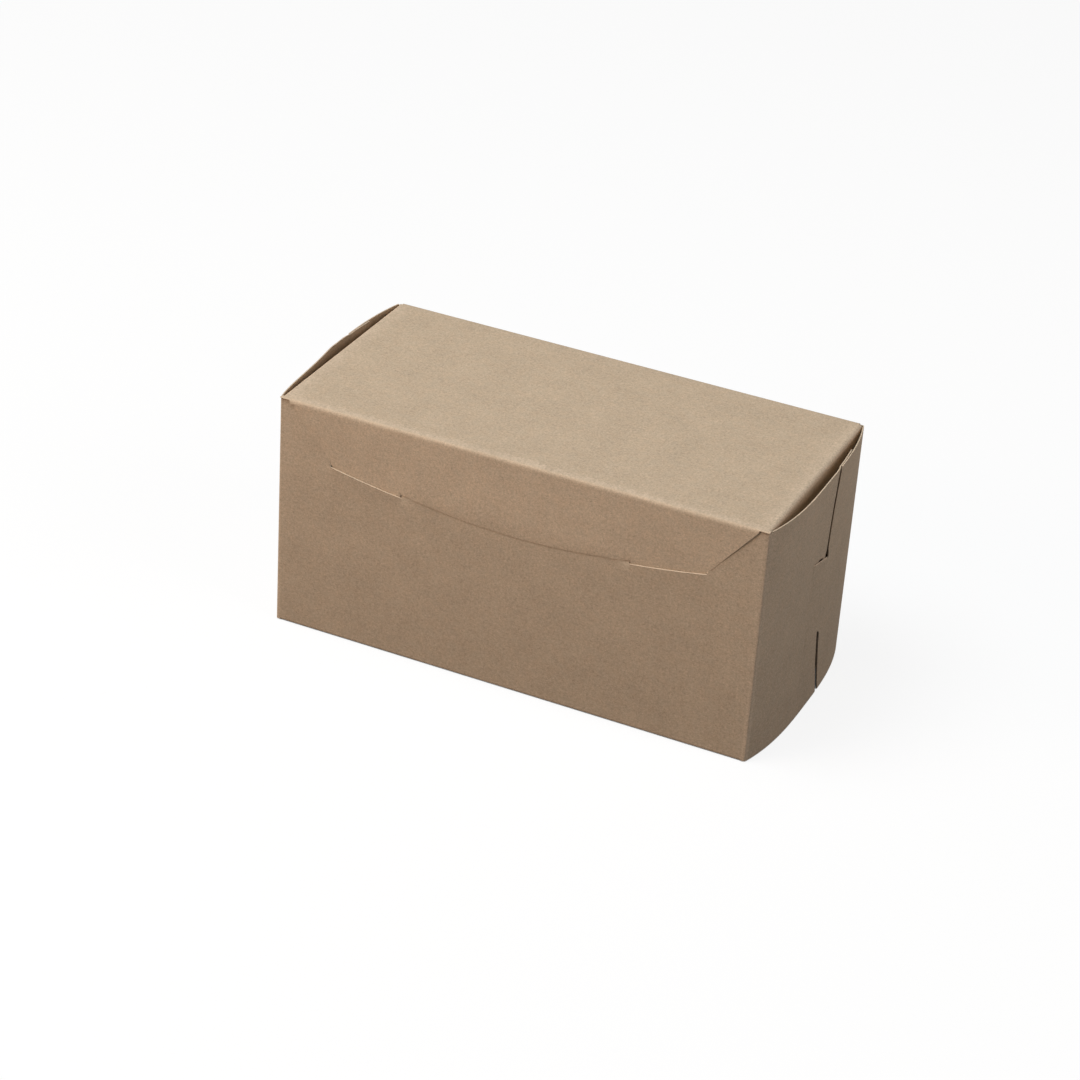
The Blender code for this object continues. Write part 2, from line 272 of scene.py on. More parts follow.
# The front flap's dive beneath the rear flap's edge, from the rim to a little below it
DIVE_AT_RIM = 0.00060
DIVE_BELOW_RIM = 0.00012
DIVE_RIM_HEIGHTS = (0.0008, 0.010)
DIVE_RUN = 0.0036
DIVE_RUN_BELOW_RIM = 0.0016
DIVE_END = 0.0002
TONGUE_DIVE = 0.0002
NOTCH_PRESS = 0.00015
NOTCH_PRESS_HEIGHT = 0.004
NOTCH_RUN = 0.0015

# The rear flap's tongue: how it rises from beneath the notch, and how its top edge flares out
SINK_MARGIN = 0.00002
RISE_LEAD = 0.002
FOOT_RISE_HEIGHT = 0.007
FOOT_RISE_LEAD = 0.0004
FOOT_RISE_RUN = 0.0016
FLARE = 0.0005
FLARE_WHERE_SUNK = 0.0004
FLARE_HEIGHT = 0.007
FLARE_LEAD = 0.0002
FLARE_END_LEAD = 0.0006
FLARE_END_RUN = 0.003
FLARE_TOP_HEIGHTS = (0.0002, 0.004)
SUNK_MARGIN = 0.0001


def front_layer(depth, height):
    """The front flap, which above the waist dives beneath the rear flap, least at the rim."""
    below_rim = share(RIM_TOP - height, *DIVE_RIM_HEIGHTS)
    start = REAR_EDGE - DIVE_RUN + DIVE_RUN_BELOW_RIM * below_rim
    dive = (DIVE_AT_RIM + DIVE_BELOW_RIM * below_rim) * share(depth, start, REAR_EDGE - DIVE_END)
    dive = dive + TONGUE_DIVE * share(depth, REAR_EDGE, FRONT_TONGUE_END)
    top = tongue_top(depth)
    pressed = NOTCH_PRESS * (1 - share(height, top, top + NOTCH_PRESS_HEIGHT))
    pressed = pressed * share(depth, NOTCH, NOTCH + NOTCH_RUN)
    return front_plain(depth, height) - np.where(height < WAIST_HEIGHT, 0, dive + pressed)


def rear_tongue_layer(depth, height):
    """The rear flap: its tongue sinks beneath the front flap's notch, its top edge stands proud."""
    own = rear_layer(depth, height)
    inside = front_plain(depth, height) - BOARD - SINK_MARGIN
    rise = share(depth, NOTCH - RISE_LEAD, REAR_EDGE)
    near_foot = 1 - share(height, TONGUE_BOTTOM, TONGUE_BOTTOM + FOOT_RISE_HEIGHT)
    foot_rise = share(depth, NOTCH - FOOT_RISE_LEAD, NOTCH + FOOT_RISE_RUN)
    rise = rise + (1 - rise) * near_foot * foot_rise
    sunk = inside + (own - inside) * rise
    top = tongue_top(depth)
    flare = (FLARE + FLARE_WHERE_SUNK * (1 - rise)) * share(height, top - FLARE_HEIGHT, top)
    flare = flare * share(depth, NOTCH - FLARE_LEAD, NOTCH + NOTCH_RUN)
    flare = flare * (1 - share(depth, REAR_EDGE - FLARE_END_LEAD, REAR_EDGE + FLARE_END_RUN))
    low, high = FLARE_TOP_HEIGHTS
    flare = flare * (1 - share(height, top + low, top + high))
    reach = (depth < REAR_EDGE) & (height > TONGUE_BOTTOM - SLIT_FILLET - SUNK_MARGIN)
    return np.where(reach, sunk, own) + flare


# Mesh building

def arc(centre_a, centre_b, radius, first_degrees, last_degrees, steps):
    angles = np.radians(np.linspace(first_degrees, last_degrees, steps + 1))
    return [(centre_a + radius * math.cos(v), centre_b + radius * math.sin(v)) for v in angles]


def divide(loop, step):
    """The closed loop with points added so that no side is longer than step."""
    points = []
    for index, start in enumerate(loop):
        end = loop[(index + 1) % len(loop)]
        length = math.dist(start, end)
        if length < CLOSE:
            continue
        count = max(1, math.ceil(length / step))
        for part in range(count):
            t = part / count
            points.append((start[0] + (end[0] - start[0]) * t, start[1] + (end[1] - start[1]) * t))
    return points


def inside(points, loops):
    """Which of the points lie inside the loops, holes left out, by the even-odd rule."""
    result = np.zeros(len(points), bool)
    x, y = points[:, 0], points[:, 1]
    for loop in loops:
        line = np.array(loop)
        ends = np.roll(line, -1, axis=0)
        for (x0, y0), (x1, y1) in zip(line, ends):
            if y0 == y1:
                continue
            crosses = (y0 > y) != (y1 > y)
            result ^= crosses & (x < (x1 - x0) * (y - y0) / (y1 - y0) + x0)
    return result


def distance_to(points, loops):
    nearest = np.full(len(points), np.inf)
    for loop in loops:
        line = np.array(loop)
        ends = np.roll(line, -1, axis=0)
        for start, end in zip(line, ends):
            run = end - start
            t = np.clip(((points - start) @ run) / (run @ run), 0, 1)
            gap = np.linalg.norm(points - start - t[:, None] * run, axis=1)
            nearest = np.minimum(nearest, gap)
    return nearest


def triangulate(loops, step_a, step_b):
    """Points and triangles that fill the loops: the loops' own points first, then a grid inside."""
    flat = [point for loop in loops for point in loop]
    edges = []
    first = 0
    for loop in loops:
        count = len(loop)
        edges += [(first + i, first + (i + 1) % count) for i in range(count)]
        first += count
    line = np.array(flat)
    low, high = line.min(axis=0), line.max(axis=0)
    counts = [max(1, round((high[k] - low[k]) / step)) for k, step in ((0, step_a), (1, step_b))]
    a = np.linspace(low[0], high[0], counts[0] + 1)[1:-1]
    b = np.linspace(low[1], high[1], counts[1] + 1)[1:-1]
    grid = np.array([(i, j) for i in a for j in b]).reshape(-1, 2)
    if len(grid):
        near = GRID_KEEP_OFF * min(step_a, step_b)
        grid = grid[inside(grid, loops) & (distance_to(grid, loops) > near)]
    points = np.concatenate([line, grid])
    found = delaunay_2d_cdt([Vector(p) for p in points], edges, [], 0, SAME_POINT, True)
    vertices = np.array([tuple(v) for v in found[0]])
    origin = [list(o) for o in found[3]]
    faces = np.array([tuple(f) for f in found[2]])
    middles = vertices[faces].mean(axis=1)
    faces = faces[inside(middles, loops)]
    place = np.full(len(vertices), -1)
    for index, sources in enumerate(origin):
        place[index] = min(sources) if sources else -1
    if (place < 0).any() or len(vertices) != len(points):
        raise ValueError("the outline crosses itself or repeats a point")
    order = place[faces]
    corner = points[order]
    turn = np.cross(corner[:, 1] - corner[:, 0], corner[:, 2] - corner[:, 0])
    order[turn < 0] = order[turn < 0][:, ::-1]
    return points, order


def make_piece(name, points, faces, marks, parts):
    """A mesh object from world points and faces, marks for the finish, and each face's part.

    marks are the points' places on the flat blank, how pale they are worn, and their tones, which
    carry painted light and shade.
    """
    blank, fold, tone = marks
    mesh = bpy.data.meshes.new(name)
    mesh.from_pydata([tuple(p) for p in points], [], [tuple(int(i) for i in f) for f in faces])
    mesh.update()
    for label, kind, field, values in (
        ("blank_place", "FLOAT_VECTOR", "vector", blank),
        ("fold_share", "FLOAT", "value", fold),
        ("board_tone_and_painted_light", "FLOAT", "value", tone),
    ):
        mark = mesh.attributes.new(label, kind, "POINT")
        mark.data.foreach_set(field, np.array(values, np.float32).ravel())
    mesh.shade_smooth()
    mesh.polygons.foreach_set("material_index", np.array(parts, np.int32))
    mesh.set_sharp_from_angle(angle=math.radians(SHARP_DEGREES))
    for material in BOARD_SLOTS:
        mesh.materials.append(material)
    piece = bpy.data.objects.new(name, mesh)
    bpy.context.scene.collection.objects.link(piece)
    return piece


OUTER, INNER, EDGE = 0, 1, 2


def sheet_piece(name, loops, to_world, to_blank, step, grid, tone, worn, edge):
    """Thin board: an outline of loops filled, set in the world, and given its thickness.

    step is the outline's longest side and grid the steps inside it.
    to_world(a, b, c) and to_blank(a, b) take arrays; c is the depth into the board. tone and worn
    are numbers or functions of (a, b), and so is edge, the factor on the inner face's tone.
    """
    points, faces = triangulate([divide(loop, step) for loop in loops], *grid)
    a, b = points[:, 0], points[:, 1]
    top = to_world(a, b, 0.0)
    low = to_world(a, b, BOARD)
    count = len(points)
    first, second, third = (top[faces[0][k]] for k in range(3))
    normal = np.cross(second - first, third - first)
    flipped = np.dot(normal, low[faces[0][0]] - first) > 0
    outer = faces[:, ::-1] if flipped else faces
    inner = (faces if flipped else faces[:, ::-1]) + count
    all_faces = [tuple(f) for f in outer] + [tuple(f) for f in inner]
    parts = [OUTER] * len(outer) + [INNER] * len(inner)
    ways = ((int(face[i]), int(face[(i + 1) % 3])) for face in outer for i in range(3))
    sides = dict.fromkeys(ways)
    for start, end in sides:
        if (end, start) not in sides:
            all_faces.append((end, start, start + count, end + count))
            parts.append(EDGE)
    u, v = to_blank(a, b)
    flat = np.stack([u, v, np.zeros(count)], axis=1)
    under = np.stack([u, v, np.full(count, BOARD)], axis=1)
    blank = np.concatenate([flat, under])
    world = np.concatenate([top, low])
    # tone carries painted light and shade on some pieces, and edge, the inner face's factor, paints
    # light and shade on the cut faces
    fold, tone, cut_face_painted_light = (
        np.ones(count) * (value(a, b) if callable(value) else value) for value in (worn, tone, edge)
    )
    marks = (blank, np.tile(fold, 2), np.concatenate([tone, tone * cut_face_painted_light]))
    return make_piece(name, world, all_faces, marks, parts)


def cubic(t, p0, q0, q1, p1):
    """The points and the unit tangents of a cubic curve from p0 to p1, drawn towards q0 and q1."""
    points = (1 - t) ** 3 * p0 + 3 * (1 - t) ** 2 * t * q0 + 3 * (1 - t) * t**2 * q1 + t**3 * p1
    slope = 3 * (1 - t) ** 2 * (q0 - p0) + 6 * (1 - t) * t * (q1 - q0) + 3 * t**2 * (p1 - q1)
    return points, slope / np.linalg.norm(slope, axis=1)[:, None]


def crease_piece(
    name, frame_at, run_from, run_to, step, blank_at, handles, tones, worn, denser=None
):
    """A folded strip between two panels: a cubic curve swept along the fold.

    frame_at(s) gives the section's ends at a place along the fold: two outer points, the unit
    tangents that leave the first and reach the second, and the outward normals of both.
    blank_at(s, t) gives the flat blank's place, t from 0 at the first panel to 1 at the second.
    handles near 1 make a crisp fold. tones and worn are the board's tone at both panels and its
    wear at the first panel, in the fold's middle and at the second panel. Both ends of the fold
    are cut finer from the place denser on.
    """
    count = max(1, math.ceil((run_to - run_from) / step))
    stations = np.linspace(run_from, run_to, count + 1)
    if denser:
        finer = np.linspace(denser, run_to, EAR_STEPS + 1)
        stations = np.unique(np.concatenate([stations, finer, -finer]))
        count = len(stations) - 1
    t = np.linspace(0, 1, CREASE_STEPS + 1)[:, None]
    points, blank, fold, tone = [], [], [], []
    for s in stations:
        p0, p1, t0, t1, n0, n1 = (np.array(v, float) for v in frame_at(s))
        q0 = p0 + t0 * handles[0] * REACH
        q1 = p1 - t1 * handles[1] * abs(np.dot(p0 - p1, t1))
        curve, slope = cubic(t, p0, q0, q1, p1)
        axis = np.cross(n0, t0)
        normal = np.cross(slope, axis)
        normal /= np.linalg.norm(normal, axis=1)[:, None]
        normal[0], normal[-1] = n0, n1
        points += [curve, curve - normal * BOARD]
        flat = np.array([blank_at(s, float(v)) for v in t[:, 0]])
        blank += [np.c_[flat, np.zeros(len(t))], np.c_[flat, np.full(len(t), BOARD)]]
        fold += 2 * [np.interp(t[:, 0], (0, 0.5, 1), worn)]
        tone += 2 * [tones[0] + (tones[1] - tones[0]) * t[:, 0]]
    width = CREASE_STEPS + 1
    faces, parts = [], []
    for k in range(count):
        o0, i0 = 2 * k * width, (2 * k + 1) * width
        o1, i1 = 2 * (k + 1) * width, (2 * (k + 1) + 1) * width
        for j in range(CREASE_STEPS):
            faces.append((o0 + j, o0 + j + 1, o1 + j + 1, o1 + j))
            parts.append(OUTER)
            faces.append((i0 + j + 1, i0 + j, i1 + j, i1 + j + 1))
            parts.append(INNER)
        faces.append((o0, o1, i1, i0))
        faces.append((o0 + width - 1, i0 + width - 1, i1 + width - 1, o1 + width - 1))
        parts += [EDGE, EDGE]
    for j in range(CREASE_STEPS):
        last_o, last_i = 2 * count * width, (2 * count + 1) * width
        faces.append((j, width + j, width + j + 1, j + 1))
        faces.append((last_o + j, last_o + j + 1, last_i + j + 1, last_i + j))
        parts += [EDGE, EDGE]
    world = np.concatenate(points)
    marks = (np.concatenate(blank), np.concatenate(fold), np.concatenate(tone))
    piece = make_piece(name, world, faces, marks, parts)
    tidy_direction(piece)
    return piece


def tidy_direction(piece):
    """Turns the mesh the right way out, by its signed volume."""
    mesh = piece.data
    mesh.calc_loop_triangles()
    corner = np.empty(3 * len(mesh.vertices))
    mesh.vertices.foreach_get("co", corner)
    corner = corner.reshape(-1, 3)
    index = np.empty(3 * len(mesh.loop_triangles), np.int32)
    mesh.loop_triangles.foreach_get("vertices", index)
    a, b, c = (corner[index.reshape(-1, 3)[:, k]] for k in range(3))
    if np.einsum("ij,ij->i", a, np.cross(b, c)).sum() < 0:
        mesh.flip_normals()


# Finish: uncoated kraft board. Its pattern lies on the flat blank, so it runs on over every fold.

def link(tree, output, socket):
    tree.links.new(output, socket)


def noise(tree, place, scale, detail, roughness=0.5, stretch=None, distortion=0.0):
    """Noise over the blank; scale is in waves per metre, stretch squeezes it along the axes."""
    if stretch:
        mapping = tree.nodes.new("ShaderNodeMapping")
        mapping.vector_type = "POINT"
        mapping.inputs["Scale"].default_value = stretch
        link(tree, place, mapping.inputs["Vector"])
        place = mapping.outputs["Vector"]
    node = tree.nodes.new("ShaderNodeTexNoise")
    node.noise_dimensions = "3D"
    node.inputs["Scale"].default_value = scale
    node.inputs["Detail"].default_value = detail
    node.inputs["Roughness"].default_value = roughness
    node.inputs["Distortion"].default_value = distortion
    link(tree, place, node.inputs["Vector"])
    return node.outputs["Fac"]


def remap(tree, value, source, target, kind="LINEAR"):
    """Carries the value from the source range over to the target range."""
    node = tree.nodes.new("ShaderNodeMapRange")
    node.interpolation_type = kind
    node.clamp = True
    for word, (low, high) in (("From", source), ("To", target)):
        node.inputs[word + " Min"].default_value = low
        node.inputs[word + " Max"].default_value = high
    link(tree, value, node.inputs["Value"])
    return node.outputs["Result"]


def maths(tree, operation, *values):
    node = tree.nodes.new("ShaderNodeMath")
    node.operation = operation
    for socket, value in zip(node.inputs, values):
        if isinstance(value, (int, float)):
            socket.default_value = value
        else:
            link(tree, value, socket)
    return node.outputs["Value"]


def mix_colour(tree, amount, first, second):
    """A blend of two colours, each a tuple or a socket, by the amount that a socket gives."""
    node = tree.nodes.new("ShaderNodeMix")
    node.data_type = "RGBA"
    node.clamp_factor = True
    link(tree, amount, node.inputs["Factor"])
    for name, value in (("A", first), ("B", second)):
        socket = [s for s in node.inputs if s.name == name and s.type == "RGBA"][0]
        if isinstance(value, tuple):
            socket.default_value = (*value, 1)
        else:
            link(tree, value, socket)
    return [s for s in node.outputs if s.type == "RGBA"][0]


def attribute(tree, name, output):
    node = tree.nodes.new("ShaderNodeAttribute")
    node.attribute_type = "GEOMETRY"
    node.attribute_name = name
    return node.outputs[output]


def scaled(colour, factors):
    return tuple(round(c * f, 4) for c, f in zip(colour, factors))


# Patterns of the board: waves per metre, detail, roughness, stretch, distortion; then their weights
PATTERNS = {
    "cloud": (70, 3, 0.55, None, 0.0),
    "mottle": (360, 4, 0.62, None, 0.2),
    "grain": (950, 3, 0.62, None, 0.5),
    "fibre": (2300, 2, 0.5, (0.7, 1.0, 1.0), 0.6),
}
TONE_WEIGHTS = {"cloud": 0.22, "mottle": 0.26, "grain": 0.66, "fibre": 0.66}
RELIEF_WEIGHTS = {"fibre": 0.5, "mottle": 0.8}
RELIEF_STRENGTH = 0.6
RELIEF_DEPTH = 0.00010

# Dark and light flecks: their noise, the part of its range that shows, and their tone
FLECKS = (
    ((1400, 1, 0.4, (0.8, 1.0, 1.0), 0.8), (0.66, 0.78), 0.86),
    ((1100, 1, 0.4, (0.8, 1.0, 1.0), 1.0), (0.68, 0.80), 1.07),
)
HUE_NOISE = (240, 2, 0.5)
HUE_RANGE = (0.35, 0.65)
WARM = (1.01, 0.995, 0.985)
COOL = (0.99, 1.0, 1.01)
SCUFF_RANGE = (0.35, 0.62)
SCUFF_SHARES = (0.55, 1.0)
PLY_NOISE = (1500, 1, 0.5, (0.25, 0.25, 5.0))
PLY_RANGE = (0.3, 0.7)
PLY_TONES = (0.90, 1.08)
ROUGHNESS_RANGE = (0.3, 0.7)
ROUGHNESS = (0.84, 0.95)
SHINE = 0.3


def kraft(name, base, pale, cut=False):
    """Kraft board: tones at four sizes, flecks, a paler worn colour, plies and relief."""
    material = bpy.data.materials.new(name)
    material.use_nodes = True
    tree = material.node_tree
    shader = tree.nodes["Principled BSDF"]
    place = attribute(tree, "blank_place", "Vector")
    patterns = {key: noise(tree, place, *values) for key, values in PATTERNS.items()}
    tone = maths(tree, "ADD", 1 - sum(TONE_WEIGHTS.values()) / 2, 0.0)
    for key, weight in TONE_WEIGHTS.items():
        tone = maths(tree, "MULTIPLY_ADD", patterns[key], weight, tone)
    for values, shown, fleck_tone in FLECKS:
        fleck = noise(tree, place, *values)
        fleck = remap(tree, fleck, shown, (1.0, fleck_tone), "SMOOTHSTEP")
        tone = maths(tree, "MULTIPLY", tone, fleck)
    hue = remap(tree, noise(tree, place, *HUE_NOISE), HUE_RANGE, (0, 1))
    colour = mix_colour(tree, hue, scaled(base, WARM), scaled(base, COOL))
    scuff = remap(tree, patterns["mottle"], SCUFF_RANGE, SCUFF_SHARES, "SMOOTHSTEP")
    worn = maths(tree, "MULTIPLY", attribute(tree, "fold_share", "Fac"), scuff)
    colour = mix_colour(tree, worn, colour, pale)
    if cut:
        plies = remap(tree, noise(tree, place, *PLY_NOISE), PLY_RANGE, PLY_TONES)
        tone = maths(tree, "MULTIPLY", tone, plies)
    # The points' tones, which carry the painted light and shade, scale the colour
    tone = maths(tree, "MULTIPLY", tone, attribute(tree, "board_tone_and_painted_light", "Fac"))
    toned = tree.nodes.new("ShaderNodeVectorMath")
    toned.operation = "SCALE"
    link(tree, colour, toned.inputs[0])
    link(tree, tone, toned.inputs["Scale"])
    link(tree, toned.outputs["Vector"], shader.inputs["Base Color"])
    roughness = remap(tree, patterns["mottle"], ROUGHNESS_RANGE, ROUGHNESS)
    link(tree, roughness, shader.inputs["Roughness"])
    shader.inputs["Specular IOR Level"].default_value = SHINE
    height = patterns["grain"]
    for key, weight in RELIEF_WEIGHTS.items():
        height = maths(tree, "MULTIPLY_ADD", patterns[key], weight, height)
    bump = tree.nodes.new("ShaderNodeBump")
    bump.inputs["Strength"].default_value = RELIEF_STRENGTH
    bump.inputs["Distance"].default_value = RELIEF_DEPTH
    link(tree, height, bump.inputs["Height"])
    link(tree, bump.outputs["Normal"], shader.inputs["Normal"])
    return material


BOARD_COLOUR = (0.500, 0.390, 0.275)
PALE_COLOUR = (0.560, 0.440, 0.318)
INNER_COLOUR = (0.400, 0.290, 0.190)
INNER_PALE = (1.06, 1.06, 1.08)
CUT_COLOUR = (0.540, 0.430, 0.315)
BOARD_SLOTS = (
    kraft("kraft_outer", BOARD_COLOUR, PALE_COLOUR),
    kraft("kraft_inner", INNER_COLOUR, scaled(INNER_COLOUR, INNER_PALE)),
    kraft("kraft_cut_edge", CUT_COLOUR, CUT_COLOUR, cut=True),
)


# Each piece stands for one node of the frame

def dress(node):
    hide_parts(node)


def dress_sheet(
    node, body, loops, to_world, to_blank, step, grid,
    tone=1.0, worn=0.0, edge=1.0,
):
    piece = sheet_piece("kraft_" + node, loops, to_world, to_blank, step, grid, tone, worn, edge)
    tidy_direction(piece)
    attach(piece, body)
    dress(node)


def rectangle(left, right, low, high):
    return [(left, low), (right, low), (right, high), (left, high)]


def hump(value, low, high):
    """0 at both ends of a range and 1 in its middle."""
    return np.sin(np.pi * np.clip((value - low) / (high - low), 0, 1))


def stack(x, y, z):
    x, y, z = np.broadcast_arrays(np.asarray(x, float), y, z)
    return np.stack([x, y, z], axis=-1)


# Flat blank: u along the length, v across it, both 0 in the middle of the base

LID_V = REAR_Y + HEIGHT
FLAP_V = LID_V + WIDTH
SIDES = ((-1, "left"), (1, "right"))


def points_along(height_at, first, last, steps):
    """Points of an edge, from the place first to the place last, at the heights given."""
    return [(float(x), float(height_at(x))) for x in np.linspace(first, last, steps + 1)]


def painted_foot_shade(height):
    """Painted shade: the board of the walls and ends is drawn a little darker towards the foot and
    paler towards the top.
    """
    return 1 + FOOT_SHADE_SLOPE * np.clip(height - HEIGHT / 2, -FOOT_SHADE_REACH, FOOT_SHADE_REACH)


def wall_worn(a, b):
    """The front wall is a little paler beside its corners."""
    return WALL_WEAR * (1 - share(HALF - np.abs(a), REACH, REACH + WALL_WEAR_WIDTH))


def on_lip(a, b):
    """1 on a slit's lower edge, 0 elsewhere."""
    away = np.abs(a)
    within = (away > TAB_INNER_PLACE) & (away < SLIT_END)
    return within * (np.abs(b - slit_edge(np.minimum(away, SLIT_END))) < NEAR_LIP)


# Painted highlight: the cut face on a slit's lower edge is drawn paler
def painted_lip_highlight(a, b):
    return 1 + LIP_PAINTED_HIGHLIGHT * on_lip(a, b)


def front_wall_loops():
    loops = [rectangle(-WALL_HALF, WALL_HALF, REACH, WALL_TOP)]
    start = TAB_INNER_PLACE - CLEARANCE
    places = np.linspace(start + SLIT_POINT, SLIT_END - SLIT_POINT, CURVE_STEPS + 1)
    for side in (-1, 1):
        lower = [(side * float(x), float(slit_edge(x))) for x in (start, *places, SLIT_END)]
        upper = [(side * float(x), float(slit_edge(x)) + SLIT_OPENING) for x in places[::-1]]
        loops.append(lower + upper)
    return loops


def tucked_lean(away, z):
    """How far the flap beside its middle leans in towards its slit, and its tab goes on behind."""
    slit = slit_edge(np.minimum(away, CORNER_PLACE))
    fall = np.clip((PANEL_TOP - z) / (PANEL_TOP - slit), 0, 1)
    beyond = np.maximum(0, slit - z)
    return (FLAP_LEAN * fall**LEAN_POWER + TAB_SLOPE * beyond) * share(away, *LEAN_PLACES)


def front_wall_place(a, b, c):
    """The wall: the leaning flap presses it in above each slit, and its lower lip stands out."""
    away = np.abs(a)
    slit = slit_edge(np.minimum(away, SLIT_END))
    outer_end = 1 - share(away, *LIP_END_PLACES)
    below = np.clip((slit - b) / LIP_HEIGHT, 0, 1)
    lip_out = LIP_OUT * share(away, *LIP_PLACES) * outer_end * (1 - below) ** LIP_POWER
    pressed = np.maximum(0, tucked_lean(away, b) - FLAP_GAP + PRESS_MARGIN) * outer_end
    above = np.where(b > slit + SLIT_OPENING / 2, pressed, 0)
    shift = np.where(b < slit + ON_SLIT, -lip_out, above)
    belly = FRONT_BELLY * hump(a, -WALL_HALF, WALL_HALF) * hump(b, REACH, FRONT_BELLY_TOP)
    bevel = LIP_BEVEL * on_lip(a, b) * (1 - c / BOARD)
    return stack(a, FRONT_Y + c + shift - belly, b - bevel)


def base_place(a, b, c):
    crown = hump(a, -LID_HALF, LID_HALF) * hump(b, FRONT_Y + REACH, REAR_Y - REACH)
    return stack(a, b, c + BASE_CROWN * crown)


def rear_wall_place(a, b, c):
    belly = REAR_BELLY * hump(a, -WALL_HALF, WALL_HALF) * hump(b, REACH, PANEL_TOP)
    return stack(a, REAR_Y - c + belly, b)


def add_base_and_walls():
    dress_sheet(
        "base_panel", "box", [rectangle(-LID_HALF, LID_HALF, FRONT_Y + REACH, REAR_Y - REACH)],
        base_place, lambda a, b: (a, b), COARSE, (COARSE, COARSE),
    )
    dress_sheet(
        "front_wall", "box", front_wall_loops(), front_wall_place,
        lambda a, b: (a, FRONT_Y - b), WALL_OUTLINE_STEP, WALL_GRID,
        tone=lambda a, b: painted_foot_shade(b), worn=wall_worn, edge=painted_lip_highlight,
    )
    dress_sheet(
        "rear_wall", "box", [rectangle(-WALL_HALF, WALL_HALF, REACH, PANEL_TOP)], rear_wall_place,
        lambda a, b: (a, REAR_Y + b), REAR_WALL_STEP, (REAR_WALL_STEP, REAR_WALL_STEP),
    )


def square_fold(
    node, body_a, body_b, corner, first_out, second_out, run, blank_at, step, handles,
    tones=(1.0, 1.0), worn=(0.0, 1.0, 0.0), lift=lambda s: 0.0, denser=None,
):
    """A right-angled fold: corner is on both panels' outer planes, run its ends along the fold.

    first_out and second_out are the outward directions of the first and the second panel. lift
    gives how much sooner the fold ends than at the second panel, at a place along it.
    """
    corner = np.array(corner, float)
    out_a, out_b = np.array(first_out, float), np.array(second_out, float)
    along = np.abs(np.cross(out_a, out_b))

    def frame_at(s):
        middle = corner + along * s
        second = middle - out_a * (REACH - lift(s))
        return middle - out_b * REACH, second, out_b, -out_a, out_a, out_b

    piece = crease_piece(
        "kraft_" + node, frame_at, *run, step, blank_at, handles, tones, worn, denser
    )
    if body_a == body_b:
        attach(piece, body_a)
    else:
        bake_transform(piece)
    dress(node)


# How far each fold's rounding is drawn to its corner, from its first and from its second panel
BASE_HANDLES = (0.85, 0.85)
HINGE_HANDLES = (0.75, 0.75)
LID_FRONT_HANDLES = (0.62, 0.98)
LID_SIDE_HANDLES = (0.62, 0.50)
BASE_SIDE_HANDLES = (0.75, 0.75)
CORNER_HANDLES = (1.0, 0.85)

# Wear at a fold's first panel, in its middle and at its second panel
LID_FRONT_WEAR = (1.0, 0.2, 0.0)
LID_SIDE_WEAR = (1.0, 1.0, 0.0)
CORNER_WEAR = (0.3, 0.6, 0.4)


def add_long_folds():
    ear_place = float(side_place(PANEL_TOP))
    ear_start, ear_end = (ear_place + run for run in EAR_RUN)

    def ear_lift(s):
        """Beside the flap the fold is cut short, so only its upper part goes on to the corner."""
        return float((REACH - EAR_HEIGHT) * share(abs(s), ear_start, ear_end))

    wall_run = (-WALL_HALF, WALL_HALF)
    square_fold(
        "base_front_crease", "box", "box", (0, FRONT_Y, 0), (0, 0, -1), (0, -1, 0), wall_run,
        lambda s, t: (s, FRONT_Y + REACH * (1 - 2 * t)), COARSE, BASE_HANDLES,
    )
    square_fold(
        "base_rear_crease", "box", "box", (0, REAR_Y, 0), (0, 0, -1), (0, 1, 0), wall_run,
        lambda s, t: (s, REAR_Y - REACH * (1 - 2 * t)), COARSE, BASE_HANDLES,
    )
    square_fold(
        "lid_hinge_crease", "box", "lid", (0, REAR_Y, HEIGHT), (0, 1, 0), (0, 0, 1), wall_run,
        lambda s, t: (s, LID_V - REACH * (1 - 2 * t)), COARSE, HINGE_HANDLES,
    )
    square_fold(
        "lid_front_crease", "lid", "front_flap", (0, FLAP_Y, HEIGHT), (0, 0, 1), (0, -1, 0),
        (-SIDE_PLANE, SIDE_PLANE), lambda s, t: (s, FLAP_V - REACH * (1 - 2 * t)), FOLD_STEP,
        LID_FRONT_HANDLES, (1.0, FLAP_PAINTED_LIGHT), LID_FRONT_WEAR, ear_lift, ear_place,
    )


def lid_place(a, b, c):
    crown = LID_CROWN * hump(a, -LID_HALF, LID_HALF) * hump(b, LID_FRONT, LID_REAR)
    waves = np.sin(a * RIPPLE_WAVES[0] + RIPPLE_STARTS[0])
    waves = waves * np.sin(b * RIPPLE_WAVES[1] + RIPPLE_STARTS[1])
    fade = np.sqrt(hump(b, LID_FRONT, LID_REAR)) * np.sqrt(hump(a, -LID_HALF, LID_HALF))
    return stack(a, b, HEIGHT - c - crown + LID_RIPPLE * waves * fade)


def flap_place(a, b, c):
    """The front flap: beside its middle it leans into its slits, and its free edges are thinned."""
    away = np.abs(a)
    middle = np.minimum(away, TAB_INNER_PLACE)
    low_edge = 1 - share(b - flap_edge(middle), 0, THINNED_WIDTH)
    low_edge = low_edge * (1 - share(away, TAB_INNER_PLACE - THINNED_WIDTH, TAB_INNER_PLACE))
    left_edge = (1 - share(side_place(b) - away, 0, THINNED_WIDTH)) * (a < 0)
    thinned = np.maximum(EDGE_THINNING * low_edge, SIDE_THINNING * left_edge) * (1 - c / BOARD)
    return stack(a, FLAP_Y + c + tucked_lean(away, b) + thinned, b)


def lid_worn(a, b):
    """The lid's board is paler beside its front fold and a little beside its side folds."""
    front = 1 - share(b - FLAP_Y, PALE_BAND - PALE_BAND_BLUR, PALE_BAND + PALE_BAND_BLUR)
    side = 1 - share(SIDE_PLANE - np.abs(a), REACH, REACH + PALE_SIDE)
    return np.maximum(front, side)


